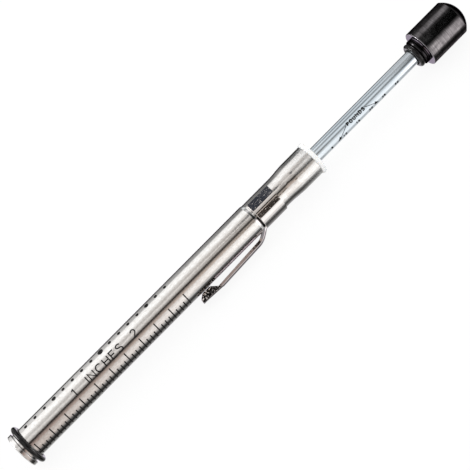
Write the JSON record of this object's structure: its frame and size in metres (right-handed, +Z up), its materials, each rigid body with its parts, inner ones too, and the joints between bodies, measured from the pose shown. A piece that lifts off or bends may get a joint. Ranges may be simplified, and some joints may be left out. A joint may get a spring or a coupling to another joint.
{
  "type": "belt and track tension gauge",
  "caption": "Pencil-type spring tension gauge with a sliding rubber ring on its nickel barrel, a pocket clip and a black push knob.",
  "frame": {"origin": "middle of the foot's contact face, on the tool's axis", "axes": "+X along the tool from the foot to the knob, +Z up, lying on a table with the clip turned down towards -Y"},
  "size_m": [0.1941, 0.0147, 0.0142],
  "materials": {
    "nickel_barrel": "satin nickel plate",
    "nickel_foot": "bright nickel plate",
    "nickel_clip": "polished nickel plate",
    "white_nylon": "moulded, slightly translucent",
    "zinc_rod": "bright zinc plate with fine drawn lines",
    "black_knob": "black anodised, turned",
    "black_rubber": "glossy moulded rubber",
    "dark_spring_steel": "phosphated",
    "brass_sleeve": "turned",
    "spring_wire": "oiled music wire"
  },
  "bodies": {
    "barrel": {"barrel_tube": "nickel_barrel", "foot_plug": "nickel_foot", "top_bushing": "white_nylon", "pocket_clip": "nickel_clip", "plunger_spring": "spring_wire"},
    "plunger": {"plunger_rod": "zinc_rod", "knob": "black_knob", "retaining_ring": "dark_spring_steel", "spring_guide": "brass_sleeve"},
    "deflection_ring": {"deflection_ring": "black_rubber"},
    "force_ring": {"force_ring": "black_rubber"}
  },
  "joints": [
    {"name": "plunger_slide", "type": "slide", "parent": "barrel", "child": "plunger", "axis": [-1, 0, 0], "range_m": [0, 0.0348], "stiffness_N_per_m": 3830, "deforming": ["plunger_spring"]},
    {"name": "deflection_ring_slide", "type": "slide", "parent": "barrel", "child": "deflection_ring", "axis": [1, 0, 0], "range_m": [-0.00055, 0.067]},
    {"name": "force_ring_slide", "type": "slide", "parent": "plunger", "child": "force_ring", "axis": [-1, 0, 0], "range_m": [0, 0.0098]}
  ]
}
